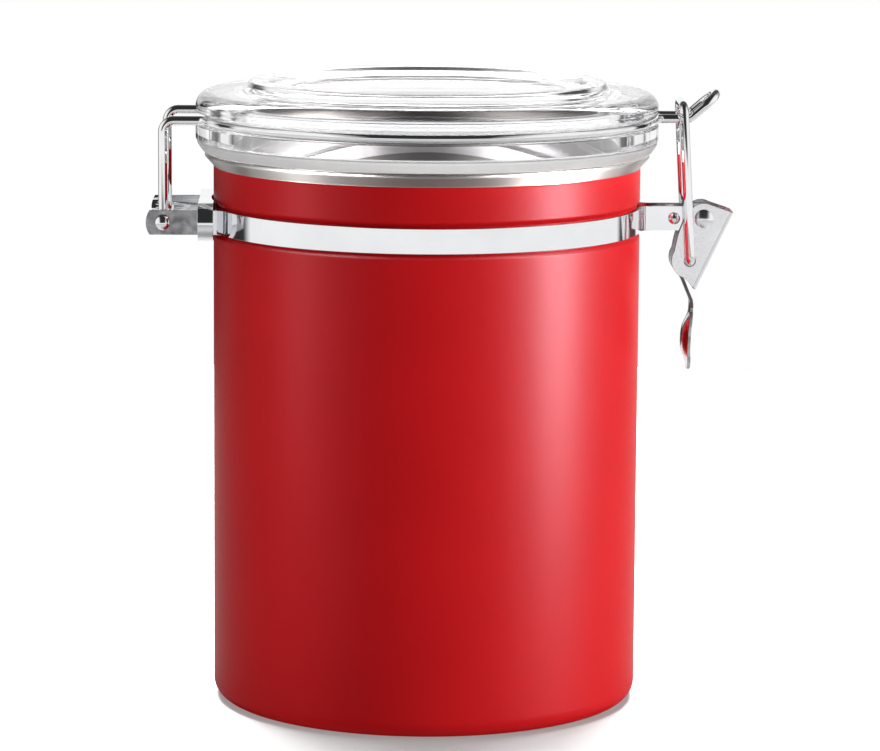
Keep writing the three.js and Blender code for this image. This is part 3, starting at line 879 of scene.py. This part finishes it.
thicken(paddle, lever_sheet)
cut(lever, paddle, "UNION")
cut(lever, rod(pivot_hole, pivot_x, strap_z, -20, 20))
cut(lever, rod(eye_hole, eye_x, eye_z, -20, 20))
# The broken edges take the dark edge finish, which paints shade along them.
soften(lever, edge_break, edge_slot=1)
for face in lever.data.polygons:
    if face.material_index == 1 and face.center.z < paddle_top * mm:
        face.material_index = 2
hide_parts("latch_lever")
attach(lever, "lever")

# BAIL
# A loop of the same chromed wire. Its ends are hooked into the lever's eyes and its crossbar pulls
# on the hoop's hook.
bail_y = 8.6
bail_end_y = 3.6
crossbar_x = 71.5
crossbar_z = 169.16
bail_corners = [
    ((eye_x, -bail_end_y, eye_z), 0),
    ((eye_x, -bail_y, eye_z), 1.82),
    ((crossbar_x, -bail_y, crossbar_z), 3),
    ((crossbar_x, 0, crossbar_z), 0),
]
bail = bent_wire("bail_wire", both_halves(rounded(bail_corners)[:-1]))
bail.data.materials.append(chrome)
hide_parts("latch_bail")
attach(bail, "bail")

# STUDIO
# A white round table top in a white surround, whose dark screens and slits show in bright metal and
# in the clear lid. A soft box on the right and a narrow strip close by on the left light the paint,
# and more lamps keep to the seal, the table, the paint's gloss and the can's mouth.
table_radius = 0.62
table_shade = 0.3
table_shade_mirrored = 0.08
table_glow = 0.26
table_bounce = 0.57
ambient = 0.28
screen_depth = 0.97
aim_height = 0.09
table_top, tree, skin = new_finish("white_table")
path = place(tree, "LightPath").outputs
seen = calc(tree, "MAXIMUM", path["Is Camera Ray"], path["Is Transmission Ray"])
shade = calc(tree, "MULTIPLY", path["Is Glossy Ray"], table_shade_mirrored)
feed(tree, skin.inputs["Base Color"], calc(tree, "MULTIPLY_ADD", seen, table_shade, shade))
skin.inputs["Roughness"].default_value = 0.9
skin.inputs["Specular IOR Level"].default_value = 0
skin.inputs["Emission Color"].default_value = (1, 1, 1, 1)
bounce = calc(tree, "MULTIPLY", path["Is Diffuse Ray"], table_bounce)
feed(tree, skin.inputs["Emission Strength"], calc(tree, "MULTIPLY_ADD", seen, table_glow, bounce))
bpy.ops.object.select_all(action="DESELECT")
bpy.ops.mesh.primitive_circle_add(vertices=128, radius=table_radius, fill_type="NGON")
table = bpy.context.active_object
table.name = "table_top"
table.data.materials.append(table_top)

surround = bpy.data.worlds.new("studio")
bpy.context.scene.world = surround
surround.use_nodes = True
tree = surround.node_tree
direction = place(tree, "SeparateXYZ", Vector=place(tree, "TexCoord").outputs["Generated"]).outputs
forward = calc(tree, "MULTIPLY", direction["Y"], -1)
bearing = calc(tree, "DEGREES", calc(tree, "ARCTAN2", direction["X"], forward))
height = calc(tree, "DEGREES", calc(tree, "ARCSINE", direction["Z"]))
sideways = calc(tree, "ABSOLUTE", calc(tree, "DEGREES", calc(tree, "ARCSINE", direction["X"])))
over = calc(tree, "DEGREES", calc(tree, "ARCTAN2", direction["Z"], forward))
path = place(tree, "LightPath").outputs
not_through = calc(tree, "SUBTRACT", 1, path["Is Transmission Ray"])
mirrored = calc(tree, "MULTIPLY", path["Is Glossy Ray"], not_through)


def chain(operation, first, *others):
    """Several values of the surround taken together by one operation."""
    for other in others:
        first = calc(tree, operation, first, other)
    return first


def slit(middle, half_width, edge):
    """1 within a span of bearings, in degrees from the front towards +X, and 0 outside it."""
    off = calc(tree, "ABSOLUTE", calc(tree, "SUBTRACT", bearing, middle))
    return spread(tree, off, half_width - edge, half_width + edge, 1, 0)


front_screen = chain(
    "MULTIPLY",
    spread(tree, sideways, 28, 48, 1, 0),
    spread(tree, over, -4, -2),
    spread(tree, over, 104, 112, 1, 0),
)
ceiling = chain(
    "MULTIPLY",
    spread(tree, over, 98, 104),
    spread(tree, over, 150, 165, 1, 0),
    spread(tree, sideways, 34, 70, 0.95, 0),
    mirrored,
)
behind = chain("MULTIPLY", slit(-166, 14, 4), spread(tree, height, -3, 0, 1, 0), mirrored)
low = spread(tree, height, 10, 30, 1, 0)
spans = ((132, 8, 2), (-150, 7, 2), (-122, 9, 3))
slits = [calc(tree, "MULTIPLY", slit(*span), low) for span in spans]
dark = chain("MAXIMUM", front_screen, ceiling, behind, *slits)
bright = calc(tree, "SUBTRACT", 1, calc(tree, "MULTIPLY", dark, screen_depth))
shown = calc(tree, "MAXIMUM", bright, path["Is Camera Ray"])
seen = chain("MAXIMUM", path["Is Camera Ray"], path["Is Glossy Ray"], path["Is Transmission Ray"])
strength = place(tree, "Mix", data_type="FLOAT")
for i, value in ((0, seen), (2, ambient), (3, shown)):
    feed(tree, strength.inputs[i], value)
backdrop = tree.nodes["Background"]
backdrop.inputs["Color"].default_value = (1, 1, 1, 1)
feed(tree, backdrop.inputs["Strength"], strength.outputs[0])


def soft_box(name, bearing, away, height, size, power):
    """A lamp aimed at the can's middle from a bearing, in degrees from the front towards +X."""
    turn = math.radians(bearing)
    spot = Vector((away * math.sin(turn), -away * math.cos(turn), height))
    bpy.ops.object.light_add(type="AREA", location=spot)
    lamp = bpy.context.active_object
    lamp.name = name
    lamp.data.shape = "RECTANGLE"
    lamp.data.size, lamp.data.size_y = size
    lamp.data.energy = power
    aim = Vector((0, 0, aim_height)) - spot
    lamp.rotation_euler = aim.to_track_quat("-Z", "Y").to_euler()
    return lamp


def light_only(lamp, piece):
    """Keeps a lamp's light to one piece."""
    group = bpy.data.collections.new(lamp.name + "_reach")
    group.objects.link(piece)
    lamp.light_linking.receiver_collection = group


key = soft_box("key_right", bearing=69, away=1.1, height=0.25, size=(0.3, 0.7), power=18)
strip = soft_box("strip_left", bearing=-40, away=0.13, height=0.1, size=(0.03, 0.2), power=0.046)
seal_fill = soft_box("seal_fill", bearing=12, away=1.1, height=0.3, size=(1.2, 0.5), power=7)
above = soft_box("above", bearing=-110, away=0.12, height=1.2, size=(0.9, 0.9), power=3)
on_table = soft_box("table_light", bearing=180, away=0.4, height=1.15, size=(0.9, 0.6), power=180)
for lamp in (key, strip, seal_fill, above, on_table):
    lamp.visible_glossy = False
    lamp.visible_transmission = False
strip.visible_camera = False
light_only(key, can)
light_only(strip, can)
light_only(seal_fill, gasket)
light_only(on_table, table)
gloss_lamps = [
    soft_box("gloss_right", bearing=71, away=1.1, height=0.2, size=(0.4, 1.3), power=260),
    soft_box("gloss_left", bearing=-70, away=1.1, height=0.2, size=(0.3, 1.3), power=24),
    soft_box("mouth_right", bearing=68, away=0.8, height=1, size=(0.9, 0.4), power=60),
    soft_box("mouth_left", bearing=-68, away=0.8, height=1, size=(0.9, 0.4), power=80),
]
for lamp in gloss_lamps:
    lamp.visible_diffuse = False
    light_only(lamp, can)
bpy.context.scene.cycles.max_bounces = 24
bpy.context.scene.cycles.glossy_bounces = 16
bpy.context.scene.cycles.transmission_bounces = 24

# CAMERA
# A long lens about 1.2 m in front, a little above the lid and a little towards the hinge side. It
# looks slightly down, and its turns are in radians.
camera_spot = (-0.0259, -1.1997, 0.279)
pitch = 0.15495
yaw = 0.02496
roll = 0.00684
bpy.ops.object.camera_add(location=camera_spot)
camera = bpy.context.active_object
turned_aside = Matrix.Rotation(-yaw, 3, "Z")
tipped = Matrix.Rotation(math.pi / 2 - pitch, 3, "X")
camera.rotation_euler = (turned_aside @ tipped @ Matrix.Rotation(roll, 3, "Z")).to_euler()
camera.data.sensor_width = 36
camera.data.lens = 175.2
bpy.context.scene.camera = camera
bpy.context.scene.view_settings.view_transform = "Standard"
